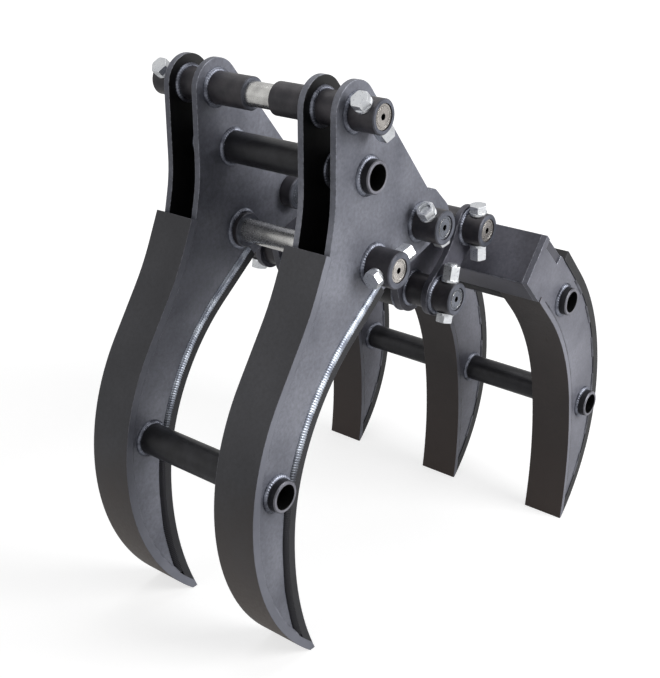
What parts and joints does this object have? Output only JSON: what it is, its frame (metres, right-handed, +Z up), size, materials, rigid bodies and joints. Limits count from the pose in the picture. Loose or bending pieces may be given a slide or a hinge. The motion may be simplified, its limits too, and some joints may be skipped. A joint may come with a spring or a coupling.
{
  "type": "log grapple",
  "caption": "Mechanical log grapple for an excavator: curved front tines on the dipper and link pins, and a hinged rear claw held by a stay link.",
  "frame": {"origin": "middle of the whole grapple on the ground that its five tips stand on", "axes": "+X from the front tines to the rear claw, +Y along every pin to the grapple's left as seen from the front, +Z up"},
  "size_m": [1.0124, 0.712, 1.0669],
  "materials": {
    "tine_paint": "satin dark grey paint over flame-cut rolled plate",
    "cover_paint": "satin dark grey paint, rubbed brown towards the tips",
    "claw_paint": "satin dark grey paint over rolled plate",
    "face_paint": "satin dark grey-brown paint on the gripping faces",
    "back_paint": "near-black satin paint on the back plates",
    "boss_paint": "near-black satin paint on turned bosses and tubes",
    "link_paint": "satin dark grey paint",
    "pin_steel": "ground and hardened steel with fine turning marks",
    "fasteners": "bright zinc plate"
  },
  "bodies": {
    "tines": {"claw_pivot_inner_boss_left": "boss_paint", "claw_pivot_inner_boss_right": "boss_paint", "claw_pivot_outer_boss_left": "boss_paint", "claw_pivot_outer_boss_right": "boss_paint", "claw_pivot_pin_left": "pin_steel", "claw_pivot_pin_right": "pin_steel", "dipper_pin": "pin_steel", "dipper_pin_boss_left": "boss_paint", "dipper_pin_boss_right": "boss_paint", "link_pin": "pin_steel", "link_pin_boss_left": "boss_paint", "link_pin_boss_right": "boss_paint", "lower_cross_tube": "boss_paint", "tine_left_front_cover": "cover_paint", "tine_left_inner_plate": "tine_paint", "tine_left_outer_plate": "tine_paint", "tine_left_rear_cover": "cover_paint", "tine_pin_bolts": "fasteners", "tine_pin_nuts": "fasteners", "tine_right_front_cover": "cover_paint", "tine_right_inner_plate": "tine_paint", "tine_right_outer_plate": "tine_paint", "tine_right_rear_cover": "cover_paint", "top_cross_tube": "boss_paint"},
    "claw": {"beam_back_plate": "claw_paint", "beam_front_plate": "claw_paint", "beam_inner_plate": "claw_paint", "beam_lower_plate": "claw_paint", "claw_lower_tube": "boss_paint", "claw_lug_left": "claw_paint", "claw_lug_right": "claw_paint", "claw_pivot_hub_left": "boss_paint", "claw_pivot_hub_right": "boss_paint", "claw_top_tube": "boss_paint", "finger_left_back": "back_paint", "finger_left_face": "face_paint", "finger_left_left_plate": "claw_paint", "finger_left_right_plate": "claw_paint", "finger_middle_back": "back_paint", "finger_middle_face": "face_paint", "finger_middle_left_plate": "claw_paint", "finger_middle_right_plate": "claw_paint", "finger_right_back": "back_paint", "finger_right_face": "face_paint", "finger_right_left_plate": "claw_paint", "finger_right_right_plate": "claw_paint", "stay_cross_tube": "boss_paint", "stay_foot_hub_left": "boss_paint", "stay_foot_hub_right": "boss_paint"},
    "stay_link": {"stay_foot_boss_left": "boss_paint", "stay_foot_boss_right": "boss_paint", "stay_foot_pin_left": "pin_steel", "stay_foot_pin_right": "pin_steel", "stay_pin": "pin_steel", "stay_pin_bolts": "fasteners", "stay_pin_nuts": "fasteners", "stay_plate_left": "link_paint", "stay_plate_right": "link_paint", "stay_top_boss_left": "boss_paint", "stay_top_boss_right": "boss_paint"}
  },
  "joints": [
    {"name": "claw_hinge", "type": "hinge", "parent": "tines", "child": "claw", "pos_m": [-0.0388, 0, 0.781], "axis": [0, 1, 0], "range_deg": [-30, 44]},
    {"name": "stay_hinge", "type": "hinge", "parent": "claw", "child": "stay_link", "pos_m": [0.01021, 0, 0.629], "axis": [0, 1, 0], "range_deg": [-5, 17]}
  ]
}
